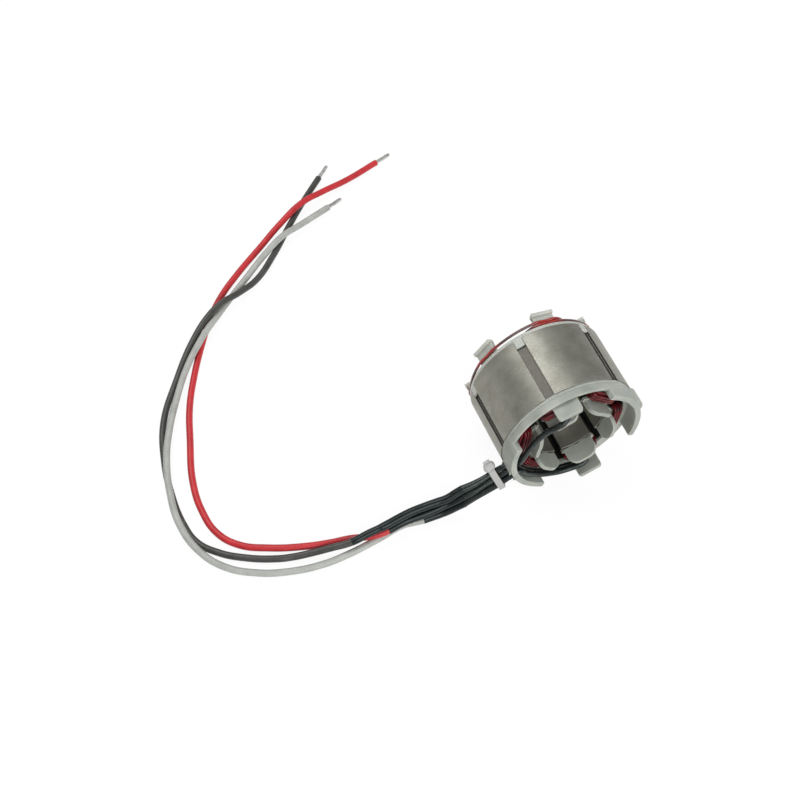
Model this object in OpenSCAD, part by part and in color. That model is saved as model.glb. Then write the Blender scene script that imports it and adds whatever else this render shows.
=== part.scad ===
// Wound stator of a small brushless motor, lying on its side on a table.
// The stator axis runs along Y and the lead side faces -Y. The origin is on the axis, half way
// along the steel stack. Angles around the axis start at +Z and turn clockwise seen from the front.

/* [Steel core] */
// Outer diameter of the laminated stack
core_d = 46; // [44:0.5:50]
// Length of the laminated stack
stack_l = 23; // [18:0.5:40]
// Diameter of the rotor bore
bore_d = 25; // [24:0.25:26]
// Width of a tooth between its two slots
tooth_w = 7; // [6:0.25:7.5]
// Radial thickness of the yoke outside the slots
yoke_w = 3.2; // [2.8:0.1:3.6]
// Radial thickness of a tooth's shoe at its tip
shoe_tip = 0.9; // [0.7:0.1:1.2]
// Radial thickness of a tooth's shoe where it meets the tooth
shoe_root = 1.5; // [1.3:0.1:1.8]
// Width of a slot's opening to the bore
slot_opening = 2.5; // [1.5:0.1:3]
// Width of the locating grooves along the outside
groove_w = 3.2; // [2:0.1:4.5]
// Depth of the locating grooves
groove_depth = 1; // [0.5:0.1:1.4]
// Angle of the first tooth and its groove as the stator lies
first_tooth = -21; // [-25:1:-15]

/* [Insulators] */
// Radial gap between the steel's outside and an insulator's base
base_inset = 0.3; // [0.1:0.1:0.8]
// Thickness of the base over the end of the stack
base_t = 0.8; // [0.6:0.1:1.2]
// Wall of the legs that line the slots
liner_t = 0.5; // [0.3:0.05:0.6]
// Gap between a leg and the steel
liner_fit = 0.1; // [0.05:0.05:0.2]
// Gap that the two sets of legs leave at mid stack
leg_gap = 0.6; // [0.2:0.1:2]
// Distance that the tooth flanges stand back from the bore
flange_inset = 0.4; // [0.2:0.1:0.6]
// Thickness of the tooth flanges
flange_t = 1.2; // [0.8:0.1:1.4]
// Width of the tooth flanges across the tooth
flange_w = 10; // [8:0.25:11]
// Height of the front tooth flanges above the stack
flange_h = 6.4; // [5.6:0.1:8]
// Height of the rear tooth flanges above the stack
rear_flange_h = 5.6; // [5.4:0.1:8]
// Corner radius of the flanges
flange_round = 3.2; // [0.5:0.1:3.6]
// Thickness of the tall outer walls at the front
wall_t = 2; // [1.6:0.1:2.2]
// Distance that walls and rims stand in from the edge of the base
wall_step = 0.2; // [0.1:0.05:0.4]
// Height of the tall outer walls at the front
wall_h = 6.6; // [6.2:0.1:9]
// Angle that each tall wall spans
wall_span = 83; // [70:1:84]
// Thickness of the low rims
rim_t = 1.2; // [0.8:0.1:1.8]
// Height of the low front rim
rim_h = 3.4; // [1.5:0.1:5]
// Height of the low rear rim
rear_rim_h = 1.6; // [1.2:0.1:2]
// Width of the two front tabs
tab_w = 8.2; // [5:0.1:9]
// Angle from the upper tooth's middle to the upper tab's
upper_tab_turn = 8; // [0:0.5:10]
// Angle from the lower tooth's middle to the lower tab's
lower_tab_turn = 1.5; // [0:0.5:10]
// Corner radius of the tabs
tab_round = 1.1; // [0.5:0.1:2]
// Height of the two front tabs
tab_h = 7.8; // [6:0.1:10]
// Thickness of the two front tabs
tab_t = 1.4; // [1:0.1:1.6]
// Distance that the tabs' outer faces lie outside the tall walls' inner faces
tab_step = 0.4; // [0.2:0.1:0.8]
// Radius of the rounded boss round each lead exit
boss_r = 4.2; // [3.8:0.1:5]
// Distance that a boss stands out beyond the tall wall
boss_out = 1.1; // [0.4:0.1:2]
// Width of the rear wire posts
post_w = 7.4; // [4:0.1:8]
// Height of the rear wire posts above the stack
post_h = 7; // [5.6:0.1:8]
// Thickness of the rear wire posts
post_t = 1.6; // [1.2:0.1:2]
// Overhang of the lip at the top of a wire post
post_lip = 0.9; // [0.4:0.1:1]
// Thickness of the lip at the top of a wire post
lip_t = 1; // [0.6:0.1:1.2]
// Length of the rear insulator's keys in the locating grooves
key_l = 2.6; // [1:0.1:5]

/* [Winding] */
// Diameter of the enamelled wire
wire_d = 0.9; // [0.7:0.05:1]
// Gap between a coil and what it is wound on
coil_fit = 0.1; // [0.05:0.05:0.2]
// Gap between a coil and the lining on the outside of its slot
coil_margin = 0.6; // [0.2:0.1:1]
// Gap between neighbouring coils in one slot
coil_gap = 0.3; // [0.2:0.05:0.6]
// Most layers of wire that are wound in a slot
layers = 4; // [3:1:4]
// Most wires side by side in a layer
side_wires = 2; // [2:1:3]
// Inside radius of a coil's corners
coil_corner = 0.3; // [0.2:0.05:0.3]
// Height of the lowest rear link above the stack
link_h = 2.4; // [2.2:0.1:2.6]
// Gap between a rear link and what it passes
link_fit = 0.05; // [0.02:0.01:0.1]
// Distance that a rear link keeps inside the slots' outer wall as it leaves its coil
link_set = 0.2; // [0:0.1:0.6]
// Angle that a rear link turns while it rises from its coil
link_turn = 7; // [5:0.5:12]

/* [Leads] */
// Outer diameter of the sleeves on the coil ends
sleeve_d = 1.9; // [1.6:0.1:2]
// Gap between a sleeve and what it passes
sleeve_fit = 0.15; // [0.1:0.05:0.3]
// Outer diameter of the shrunk tubes over the splices
splice_d = 2.8; // [2.4:0.1:2.9]
// Outer diameter of the leads
lead_d = 2.3; // [1.8:0.1:2.4]
// Outer diameter of the thin end of the black lead's shrunk tube
shrunk_d = 2.5; // [2.4:0.05:2.7]
// Diameter of the tinned ends
tip_d = 1.5; // [1:0.1:1.7]
// Length of the tinned ends
tip_l = 6.5; // [3:0.5:10]
// Width of the cable tie's band
tie_w = 2.2; // [1.8:0.1:3.5]
// Thickness of the cable tie's band
tie_t = 0.9; // [0.6:0.1:1.2]

/* [Hidden] */
$fn = 64;

teeth = 6;
pitch = 360 / teeth;
core_r = core_d / 2;
bore_r = bore_d / 2;
slot_r = core_r - yoke_w;
half_stack = stack_l / 2;
half_tooth = tooth_w / 2;
first_slot = first_tooth + pitch / 2;

// Insulator radii, each from the steel that it covers
base_r = core_r - base_inset;
wall_out = base_r - wall_step;
wall_in = wall_out - wall_t;
rim_in = wall_out - rim_t;
flange_in = bore_r + flange_inset;
flange_out = flange_in + flange_t;
lining = liner_fit + liner_t;
leg_l = half_stack - leg_gap / 2;
post_out = rim_in - wall_step;
post_in = post_out - post_t;
exit_angle = first_slot + 4 * pitch;
spare_angle = first_slot + pitch;
edge_round = 0.4;
foot = base_t / 2;
base_hole = flange_in + 0.4 * flange_t;
tab_out = wall_in + tab_step;

// Coil section: each layer holds as many wires as its share of the slot allows
coil_in = half_tooth + lining + coil_fit;
coil_bottom = bore_r + shoe_root + lining + coil_fit;
coil_reach = slot_r - lining - coil_margin;
coil_base = base_t + coil_fit;
wound = min(layers, floor((coil_reach - coil_bottom) / wire_d));
function layer_y(k) = coil_bottom + (k + 0.5) * wire_d;
function layer_room(k) = min(
    (layer_y(k) - wire_d / 2) * tan(pitch / 2) - coil_gap / 2,
    sqrt(pow(coil_reach, 2) - pow(layer_y(k) + wire_d / 2, 2))
);
function layer_wires(k) = max(1, min(side_wires, floor((layer_room(k) - coil_in) / wire_d)));
coil_top = coil_base + max([for (k = [0:wound - 1]) layer_wires(k)]) * wire_d;

// Point in the part's frame at an angle, a radius and a height above the front or rear face
function at_front(angle, r, h) = [r * sin(angle), -half_stack - h, r * cos(angle)];
function at_rear(angle, r, h) = [r * sin(angle), half_stack + h, r * cos(angle)];

// Rear links: each joins two opposite coils, runs outside three wire posts and sinks on its way,
// so that the link which leaves at a post lies above the one that arrives there
link_r = post_out + wire_d / 2 + link_fit;
link_start_r = layer_y(wound - 1) + wire_d + link_fit;
link_over_r = slot_r - link_set;
post_half = asin(post_w / 2 / link_r);
link_step = wire_d + 2 * link_fit;
function link_route(k) = let(
    from = first_tooth + (2 * k + 1) * pitch,
    to = from - 3 * pitch
) concat(
    [at_rear(from, link_start_r, coil_base + wire_d), at_rear(from - link_turn, link_over_r, link_h + link_step)],
    [for (post = [0:2], side = [1, 0, -1]) at_rear(from - (post + 0.5) * pitch + side * post_half,
        link_r / cos(side * post_half), link_h + (1 - post / 2) * link_step)],
    [at_rear(to + link_turn, link_over_r, link_h), at_rear(to, link_start_r, coil_base + wire_d)]
);

// Sleeves: one crosses over a coil, two share the gutter between a coil and the tall wall,
// and all three leave side by side through the window in the wall
sleeve_r = sleeve_d / 2;
over_coil = coil_top + sleeve_r + sleeve_fit;
gutter_r = wall_in - sleeve_r - sleeve_fit;
low_h = coil_base + layer_wires(wound - 1) * wire_d + sleeve_r;
high_h = low_h + sleeve_d;
exit_step = sleeve_d * 0.71;
exit_mid = base_t + exit_step + sleeve_r + sleeve_fit;
window = 2 * (exit_step + sleeve_r + 2 * sleeve_fit);
low_tooth = first_tooth + 4 * pitch;
left_tooth = first_tooth - pitch;
crossing_r = flange_out + sleeve_r + 0.5;
span_h = max(flange_h, over_coil + 1.5);
route_sleeve_black = [
    at_front(left_tooth + 71, crossing_r + 1.1, over_coil + 0.1),
    at_front(left_tooth + 66, crossing_r + 0.6, span_h - 1),
    at_front(left_tooth + 59, crossing_r + 0.1, span_h),
    at_front(left_tooth + 48, crossing_r, span_h - 0.1),
    at_front(left_tooth + 39, crossing_r + 0.2, span_h - 0.6),
    at_front(left_tooth + 26, crossing_r + 0.2, span_h - 1),
    at_front(left_tooth + 13, crossing_r + 0.5, span_h - 1.2),
    at_front(left_tooth, crossing_r + 1.1, span_h - 1.4),
    at_front(left_tooth - 10, crossing_r + 2, span_h - 1.5),
    at_front(left_tooth - 18, gutter_r - 0.7, exit_mid + 1.3),
    at_front(left_tooth - 26, gutter_r - 0.1, exit_mid - exit_step + 0.9),
    [-22.9, -13.2, -7.4], [-25.7, -12.95, -9.1], [-29.3, -13.2, -10.4], [-32.9, -13.4, -11.3], [-36, -13.1, -12.2]
];
route_sleeve_red = [
    at_front(low_tooth - 49, gutter_r - 1.2, low_h + 0.8),
    at_front(low_tooth - 44, gutter_r - 0.8, low_h + 0.5),
    at_front(low_tooth - 37, gutter_r - 0.4, low_h + 0.1),
    at_front(low_tooth - 25, gutter_r - 0.3, low_h),
    at_front(low_tooth - 8, gutter_r - 0.3, low_h),
    at_front(low_tooth + 8, gutter_r - 0.1, low_h),
    at_front(low_tooth + 21, gutter_r - 0.1, low_h + 0.2),
    at_front(low_tooth + 29, gutter_r + 0.8, exit_mid - 0.4),
    [-22.4, -14.6, -8.7], [-25.3, -14.45, -10.45], [-29.2, -14.45, -12], [-33.2, -14.4, -13.7], [-36, -14.1, -15]
];
route_sleeve_white = [
    at_front(low_tooth - 63, crossing_r + 1.1, over_coil + 0.2),
    at_front(low_tooth - 57, crossing_r + 1.4, high_h + 0.7),
    at_front(low_tooth - 49, crossing_r + 1.6, high_h + 0.8),
    at_front(low_tooth - 40, crossing_r + 2.1, high_h + 0.4),
    at_front(low_tooth - 30, gutter_r - 1.3, high_h + 0.1),
    at_front(low_tooth - 18, gutter_r - 1.3, high_h),
    at_front(low_tooth - 6, gutter_r - 1.1, high_h),
    at_front(low_tooth + 8, gutter_r - 0.7, high_h + 0.1),
    at_front(low_tooth + 19, gutter_r - 0.2, high_h + 0.3),
    at_front(low_tooth + 27, gutter_r + 0.5, exit_mid + exit_step + 0.25),
    [-21.9, -16, -10], [-24.9, -15.95, -11.8], [-29, -15.75, -13.8], [-33.5, -15.3, -16.1], [-36, -15, -17.7]
];

// Splice tubes: x, y and height above the table of the middle, and the diameter there
table_z = -core_r;
lead_lie = lead_d / 2 + 0.05;
splice_lie = splice_d / 2 + 0.05;
route_splice_red = [
    [-36.2, -14.1, 7.9, splice_d], [-38.6, -13.9, 6.8, splice_d], [-42.1, -13.5, 5.4, splice_d],
    [-46, -13.5, 4.7, splice_d], [-50.3, -13.5, 4.4, splice_d], [-56.3, -13.3, 3.9, splice_d],
    [-62.3, -14.3, 3.9, splice_d]
];
route_splice_black = [
    [-36.2, -13.1, 10.7, splice_d], [-38.3, -13.1, 9.8, splice_d], [-41.8, -13.2, 8.4, splice_d],
    [-45, -12.8, 7.7, splice_d], [-49, -12.5, 7.2, splice_d], [-54.1, -12.5, 6.9, splice_d],
    [-58.9, -13.1, 6.8, splice_d], [-63.5, -13.8, 6.7, splice_d], [-65.2, -13.8, 6.4, shrunk_d],
    [-69, -13.8, 5.7, shrunk_d], [-72.9, -14, 4.9, shrunk_d], [-74.4, -13.9, 4.5, shrunk_d]
];
route_splice_white = [
    [-36.2, -15, 5.1, splice_d], [-38.5, -14.6, 3.9, splice_d], [-41.5, -14.3, 2.6, splice_d],
    [-45, -13.9, 1.7, splice_d], [-50, -13.8, splice_lie, splice_d]
];
// Here the height is what a lead rises above its own lie where it crosses another
route_lead_red = [
    [-62.7, -14.3, 2.7], [-65.6, -14.2, 2.4], [-69.1, -13.2, 1.7], [-74, -11, 0.2], [-80, -9.9, 0], [-88, -8, 0],
    [-99, -4, 0],
    [-107, 0.5, 0], [-112, 7, 0], [-114, 16.5, 0], [-113.4, 28, 0], [-109.2, 44, 0], [-105.3, 56.5, 0],
    [-100.5, 68, 0], [-93.6, 79.5, 0], [-87, 90, 0], [-81, 97.6, 0], [-72, 105, 0], [-60, 113.5, 0.3],
    [-50, 120.2, 1.4], [-39.5, 126.6, 2.5], [-30, 129.2, 1.4], [-18.7, 132, 0.2], [-5, 136.5, 0]
];
route_lead_black = [
    [-74.6, -13.9, 3.2], [-76.5, -13.6, 2.7], [-80, -12.8, 2], [-86.8, -11.3, 0.6], [-93, -10, 0], [-98, -8.6, 0],
    [-107, -4.4, 0], [-114, 0.5, 0], [-119, 6.5, 0], [-121, 14.5, 0], [-121.2, 26, 0], [-119.4, 40, 0],
    [-115.2, 54, 0], [-107, 68.5, 0.2], [-96, 82, 1.8], [-87.5, 89.5, 3], [-81.5, 92.2, 3.2],
    [-74, 95.4, 1.7], [-65.5, 98.8, 0.2], [-57, 108, 0], [-46, 120, 0], [-38, 128.5, 0], [-28, 137.5, 0]
];
route_lead_white = [
    [-50.2, -13.8, 0.2], [-53, -13.3, 0], [-56.2, -12.9, 0], [-60.1, -13.3, 0], [-64.3, -14.2, 0], [-68.8, -14.9, 0],
    [-75.9, -15.8, 0], [-85, -16.1, 0], [-96, -14.3, 0],
    [-105, -11, 0], [-114, -5, 0.3], [-119.6, 2.8, 1.5], [-122.2, 12.5, 2.4], [-121.6, 25.5, 2.4],
    [-118.6, 38.7, 2.5], [-115, 48, 1.9], [-108.6, 61, 1.2], [-102, 71.5, 1.8], [-93.6, 79.7, 2.5],
    [-89.5, 84, 2.3], [-85.5, 88, 1.2], [-77.5, 96.3, 0], [-69, 101.8, 0.2], [-60, 109, 1.4], [-51.5, 113.8, 2.5],
    [-43, 116.8, 1.4], [-30, 122.3, 0]
];
function above_table(points, lie) = [for (p = points) [p[0], p[1], table_z + lie + p[2]]];

// Cable tie, square to the sleeves where they run side by side
tie_at = [-25.3, -14.45, -10.45];
tie_tilt = 24;
tie_roll = 46.6;
tie_hold = sleeve_r + sleeve_fit;
tie_half = sleeve_d + 0.1;
tie_head = 3.8;
tie_head_out = 2.6;
tie_stub = 0.9;

// Turn the stator's own frame, with its axis along Z, so that its front faces -Y
module lay_down() {
    rotate([90, 0, 0]) children();
}

module at_angle(angle) {
    rotate([0, 0, -angle]) children();
}

module each_tooth() {
    for (k = [0:teeth - 1]) at_angle(first_tooth + k * pitch) children();
}

module each_slot() {
    for (k = [0:teeth - 1]) at_angle(first_slot + k * pitch) children();
}

module front_end() {
    translate([0, 0, half_stack]) children();
}

module rear_end() {
    mirror([0, 0, 1]) translate([0, 0, half_stack]) children();
}

// Outline of a tooth with its shoe, grown by an inset on the slot side
module tooth_outline(grow) {
    tip = bore_r + shoe_tip + grow;
    root = bore_r + shoe_root + grow;
    side = half_tooth + grow;
    translate([-side, 0]) square([2 * side, slot_r + grow]);
    polygon([
        [0, 0], [tip * sin(pitch / 2), tip * cos(pitch / 2)], [side, root],
        [-side, root], [-tip * sin(pitch / 2), tip * cos(pitch / 2)]
    ]);
}

module slot_space(inset) {
    difference() {
        circle(slot_r - inset);
        each_tooth() tooth_outline(inset);
    }
}

module slot_mouths(width) {
    each_slot() translate([-width / 2, 0]) square([width, slot_r - yoke_w]);
}

module stator_core() {
    color("darkgray") lay_down() translate([0, 0, -half_stack]) linear_extrude(stack_l) difference() {
        circle(core_r);
        circle(bore_r);
        slot_space(0);
        slot_mouths(slot_opening);
        each_tooth() translate([-groove_w / 2, core_r - groove_depth]) square([groove_w, core_r]);
    }
}

// Plate outline with its foot inside the base and its two top corners rounded
module plate_outline(width, height, corner) {
    translate([-width / 2, foot]) square([width, height - foot - corner]);
    translate([corner - width / 2, foot]) square([width - 2 * corner, height - foot]);
    for (side = [-1, 1]) translate([side * (width / 2 - corner), height - corner]) circle(corner);
}

// Plate square to a radius, with its outer face at a given distance from the axis
module radial_plate(width, height, thickness, outer, corner) {
    translate([0, outer, 0]) rotate([90, 0, 0]) linear_extrude(thickness) plate_outline(width, height, corner);
}

// Wall that follows the stator's outside between two angles
module arc_wall(start, span, inner, outer, height) {
    rotate([0, 0, 90 - start - span]) rotate_extrude(angle = span)
        translate([(inner + outer) / 2, 0]) plate_outline(outer - inner, height, edge_round);
}

module flange(height) {
    intersection() {
        difference() {
            cylinder(height + foot, r = flange_out);
            translate([0, 0, -foot]) cylinder(height + 3 * foot, r = flange_in);
        }
        radial_plate(flange_w, height, flange_out, flange_out + foot, flange_round);
    }
}

// What both insulators share: base, legs down the slots and a flange on every tooth
module insulator_body(flange_height) {
    mouth = slot_opening + 4 * liner_fit;
    difference() {
        union() {
            cylinder(base_t, r = base_r);
            translate([0, 0, -leg_l]) linear_extrude(leg_l + foot) slot_space(liner_fit);
        }
        translate([0, 0, -leg_l - foot]) linear_extrude(leg_l + base_t + 2 * foot) {
            circle(base_hole);
            slot_space(lining);
            slot_mouths(mouth);
        }
    }
    each_tooth() flange(flange_height);
}

module lead_boss(angle) {
    at_angle(angle) translate([0, 0, foot]) linear_extrude(wall_h - foot - 2 * edge_round) difference() {
        translate([0, base_r + boss_out - boss_r]) circle(boss_r);
        circle(wall_in + edge_round);
    }
}

module lead_window() {
    at_angle(exit_angle) translate([0, base_r + boss_out + foot, exit_mid - window / 2 - foot])
        rotate([90, 0, 0]) linear_extrude(2 * wall_t + boss_out)
            plate_outline(window, window + foot, sleeve_r);
}

module front_insulator() {
    color("ghostwhite") lay_down() front_end() {
        insulator_body(flange_h);
        difference() {
            union() {
                for (turn = [0, 180]) {
                    mid = spare_angle + turn;
                    arc_wall(mid - wall_span / 2, wall_span, wall_in, wall_out, wall_h);
                    lead_boss(mid);
                }
            }
            lead_window();
        }
        rim_start = spare_angle + 180 + wall_span / 2 - 1;
        arc_wall(rim_start, 360 - wall_span - 180 + 2, rim_in, wall_out - wall_step / 2, rim_h);
        for (turn = [upper_tab_turn, 180 + lower_tab_turn]) at_angle(first_tooth + turn)
            radial_plate(tab_w, tab_h, tab_t, tab_out, tab_round);
    }
}

module wire_post() {
    radial_plate(post_w - 2 * wall_step, post_h - lip_t / 2, post_t, post_out, edge_round);
    translate([-post_w / 2, post_in + wall_step, post_h - lip_t]) cube([post_w, post_t + post_lip - wall_step, lip_t]);
}

// Key that lies in the rear end of a locating groove
module groove_key() {
    width = groove_w - 2 * liner_fit;
    floor_r = core_r - groove_depth + liner_fit;
    translate([-width / 2, floor_r, -key_l]) cube([width, core_r - base_inset / 2 - floor_r, key_l + foot]);
}

module rear_insulator() {
    color("ghostwhite") lay_down() rear_end() {
        insulator_body(rear_flange_h);
        arc_wall(0, 360, rim_in, wall_out, rear_rim_h);
        each_slot() wire_post();
        each_tooth() groove_key();
    }
}

// Half outline of a coil: a solid middle with a wire round at each place on the outside
module coil_section() {
    for (k = [0:wound - 1]) {
        wires = layer_wires(k);
        wide = (wires - 0.5) * wire_d;
        translate([0, layer_y(k) - (k == 0 ? 0 : wire_d / 2)])
            square([wide, k == 0 || k == wound - 1 ? wire_d / 2 : wire_d]);
        ends = k == 0 || k == wound - 1 ? wires : 2;
        for (n = [1:ends]) translate([(wires - n + 0.5) * wire_d, layer_y(k)]) circle(wire_d / 2, $fn = 24);
    }
}

// Coil round one tooth: straight runs joined by turned corners
module coil(index) {
    side = coil_in - coil_corner;
    end = half_stack + coil_base - coil_corner;
    color("firebrick") lay_down() at_angle(first_tooth + index * pitch) for (turn = [0, 180]) rotate([0, turn, 0]) {
        translate([side, 0, -end]) linear_extrude(2 * end) translate([coil_corner, 0]) coil_section();
        translate([-side, 0, end]) rotate([0, 90, 0]) linear_extrude(2 * side)
            rotate(180) mirror([0, 1]) translate([coil_corner, 0]) coil_section();
        for (flip = [0, 1]) mirror([0, 0, flip]) translate([side, 0, end]) rotate([-90, 0, 0])
            rotate_extrude(angle = -90) translate([coil_corner, 0]) coil_section();
    }
}

function unit(v) = v / norm(v);
function heading(points, i) = unit(points[min(i + 1, len(points) - 1)] - points[max(i - 1, 0)]);
function tube_ring(centre, along, radius, sides, reference) = let(
    across = unit(cross(along, reference)),
    upward = cross(across, along)
) [for (k = [0:sides - 1]) centre + radius * (cos(360 * k / sides) * across + sin(360 * k / sides) * upward)];

// Round tube along a route; the reference direction is one that the route never follows
module tube(points, diameters, reference, sides = 8) {
    last = len(points) - 1;
    rings = [for (i = [0:last])
        each tube_ring(points[i], heading(points, i), diameters[i] / 2, sides, reference)];
    near_cap = [for (k = [sides - 1:-1:0]) k];
    far_cap = [for (k = [0:sides - 1]) last * sides + k];
    skin = [for (i = [0:last - 1], k = [0:sides - 1]) let(next = (k + 1) % sides)
        [i * sides + k, i * sides + next, (i + 1) * sides + next, (i + 1) * sides + k]];
    polyhedron(rings, concat([near_cap, far_cap], skin));
}

function all_same(points, diameter) = [for (p = points) diameter];

module rear_link(index) {
    route = link_route(index);
    color("brown") tube(route, all_same(route, wire_d), [0, 1, 0]);
}

module sleeve(route) {
    color("dimgray") tube(route, all_same(route, sleeve_d), [0, 1, 0]);
}

module splice(route) {
    color("dimgray") tube(above_table(route, 0), [for (p = route) p[3]], [0, 1, 0]);
}

module lead(route) {
    tube(above_table(route, lead_lie), all_same(route, lead_d), [0, 0, 1]);
}

// Tinned strands that go on straight from the end of a lead
module tip(route) {
    path = above_table(route, lead_lie);
    last = len(path) - 1;
    along = path[last] - path[last - 1];
    color("silver") translate(path[last]) rotate([0, 0, atan2(along[1], along[0])])
        rotate([0, acos(along[2] / norm(along)), 0]) cylinder(tip_l, d = tip_d);
}

// Oblong with round ends, for the cable tie's band
module oblong(half, radius) {
    translate([-half, -radius]) square([2 * half, 2 * radius]);
    for (side = [-1, 1]) translate([side * half, 0]) circle(radius);
}

module cable_tie() {
    head_x = tie_half + tie_hold;
    color("whitesmoke") translate(tie_at) rotate([0, -90 - tie_tilt, 0]) rotate([0, 0, tie_roll]) {
        translate([0, 0, -tie_w / 2]) linear_extrude(tie_w) difference() {
            oblong(tie_half, tie_hold + tie_t);
            oblong(tie_half, tie_hold);
        }
        translate([head_x, -tie_head / 2, -tie_head / 2]) cube([tie_head_out, tie_head, tie_head]);
        translate([head_x, -tie_t / 2, -tie_w / 2]) cube([tie_head_out + tie_stub, tie_t, tie_w]);
    }
}

module sleeve_red() sleeve(route_sleeve_red);
module sleeve_black() sleeve(route_sleeve_black);
module sleeve_white() sleeve(route_sleeve_white);
module splice_red() splice(route_splice_red);
module splice_black() splice(route_splice_black);
module splice_white() splice(route_splice_white);
module lead_red() color("crimson") lead(route_lead_red);
module lead_black() color("black") lead(route_lead_black);
module lead_white() color("white") lead(route_lead_white);
module tip_red() tip(route_lead_red);
module tip_black() tip(route_lead_black);
module tip_white() tip(route_lead_white);

stator_core();
front_insulator();
rear_insulator();
coil(0);  // coil_1
coil(1);  // coil_2
coil(2);  // coil_3
coil(3);  // coil_4
coil(4);  // coil_5
coil(5);  // coil_6
rear_link(0);  // rear_link_1
rear_link(1);  // rear_link_2
rear_link(2);  // rear_link_3
sleeve_red();
sleeve_black();
sleeve_white();
cable_tie();
splice_red();
splice_black();
splice_white();
lead_red();
lead_black();
lead_white();
tip_red();
tip_black();
tip_white();
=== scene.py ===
# %% [markdown]
# # A wound stator, dressed for its portrait
# The part is the still half of a small brushless motor: a stack of steel laminations with a pale
# moulded insulator on each end, red enamelled coils on the teeth and three loose leads.
# The solids come packed and in place. Blender gives each piece its finish, and it draws again the
# pieces that are really wire, because a solid can't show single turns and strands.

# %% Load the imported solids
import math
import random

import bmesh
import bpy
from mathutils import Matrix, Vector


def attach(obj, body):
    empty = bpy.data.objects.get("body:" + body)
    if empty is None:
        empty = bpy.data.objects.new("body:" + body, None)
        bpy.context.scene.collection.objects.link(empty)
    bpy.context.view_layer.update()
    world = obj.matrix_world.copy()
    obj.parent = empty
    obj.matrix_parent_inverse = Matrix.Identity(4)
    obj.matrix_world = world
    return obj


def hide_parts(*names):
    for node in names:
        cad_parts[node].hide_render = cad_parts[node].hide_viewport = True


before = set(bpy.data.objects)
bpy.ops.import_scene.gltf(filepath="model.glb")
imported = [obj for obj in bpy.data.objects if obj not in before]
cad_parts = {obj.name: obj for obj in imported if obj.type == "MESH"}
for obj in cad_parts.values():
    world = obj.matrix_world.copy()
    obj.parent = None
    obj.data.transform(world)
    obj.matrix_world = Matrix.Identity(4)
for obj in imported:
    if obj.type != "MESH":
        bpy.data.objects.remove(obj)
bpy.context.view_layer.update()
MM = 0.001

# %% [markdown]
# ## Camera
# The photograph is a product shot from above and in front, a little to the left. The camera was
# worked out from the rims of the stack, which are circles whose size is known. A camera could be
# aimed with a Track To constraint, but one matrix says the same with nothing left to solve.

# %% Set the camera


def add_object(name, data):
    """New object in the scene."""
    made = bpy.data.objects.new(name, data)
    bpy.context.scene.collection.objects.link(made)
    return made


def aimed(place, along):
    """Matrix of a camera or lamp at a place, looking along a direction."""
    return Matrix.Translation(place) @ along.to_track_quat("-Z", "Y").to_matrix().to_4x4()


camera_data = bpy.data.cameras.new("portrait_camera")
camera_data.lens = 63
camera_data.sensor_width = 36
camera_data.clip_start = 0.01
camera_data.clip_end = 10
camera_place = Vector((-0.1416, -0.2131, 0.3691))
look_along = Vector((0.2173, 0.5184, -0.8271))
camera = add_object("portrait_camera", camera_data)
camera.matrix_world = aimed(camera_place, look_along)
bpy.context.scene.camera = camera
print("camera", [round(x, 4) for x in camera_place], "lens", camera_data.lens)

# %% [markdown]
# ## The stator's own measures
# Angles go round the bore's axis from straight up, clockwise as seen from the lead side. Each
# helper below turns an angle, a radius and a height into a point, so that every wire can be
# described the way a winder would: which tooth, how far out, how high above the stack. Sizes are
# in millimetres until a point is made.

# %% Measures and polar helpers
CORE_R = 23
HALF_STACK = 11.5
TEETH = 6
FIRST_TOOTH = -21
PITCH = 360 / TEETH
TABLE_Z = -CORE_R * MM
WIRE_D = 0.9
TOUCH = 0.05


def outward(angle):
    """Unit vector from the axis towards an angle."""
    return Vector((math.sin(math.radians(angle)), 0, math.cos(math.radians(angle))))


def around(angle):
    """Unit vector along the rim, towards larger angles."""
    return Vector((math.cos(math.radians(angle)), 0, -math.sin(math.radians(angle))))


def front_point(angle, radius, height):
    """Point above the front face of the stack."""
    return outward(angle) * radius * MM + Vector((0, -(HALF_STACK + height) * MM, 0))


def rear_point(angle, radius, height):
    """Point above the rear face of the stack."""
    return outward(angle) * radius * MM + Vector((0, (HALF_STACK + height) * MM, 0))


print("teeth", TEETH, "every", PITCH, "degrees; table at", TABLE_Z)

# %% [markdown]
# ## Shared surface effects
# Moulded plastic, enamel, rubber and tin all have the same two habits: their colour drifts a
# little over some millimetres, and their skin has a grain far finer than that. One node group
# gives both, and each finish sets its own scales and strengths. A second group finds edges by
# comparing the true normal with a rounded one, for the rub marks that the steel's bare edges
# collect and the painted highlight along the nylon's edges. Small
# helpers make the nodes, so that a tree reads as a list of what it holds and what joins what.

# %% Node helpers


def new_group(name, inputs, outputs):
    """Empty shader node group with named sockets: lists of (name, type, default)."""
    group = bpy.data.node_groups.new(name, "ShaderNodeTree")
    for socket_name, kind, default in inputs:
        socket = group.interface.new_socket(socket_name, in_out="INPUT", socket_type=kind)
        socket.default_value = default
    for socket_name, kind in outputs:
        group.interface.new_socket(socket_name, in_out="OUTPUT", socket_type=kind)
    return group, group.nodes.new("NodeGroupInput"), group.nodes.new("NodeGroupOutput")


def join(tree, pairs):
    """Link a list of (from socket, to socket)."""
    for source, target in pairs:
        tree.links.new(source, target)


def set_inputs(node, **values):
    """Set a node's inputs, with underscores for spaces in their names."""
    for key, value in values.items():
        node.inputs[key.replace("_", " ")].default_value = value
    return node


def math_node(tree, operation, second=None):
    """Math node, with its second value where that is fixed."""
    node = tree.nodes.new("ShaderNodeMath")
    node.operation = operation
    if second is not None:
        node.inputs[1].default_value = second
    return node


def vector_node(tree, operation):
    """Vector Math node."""
    node = tree.nodes.new("ShaderNodeVectorMath")
    node.operation = operation
    return node


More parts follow.
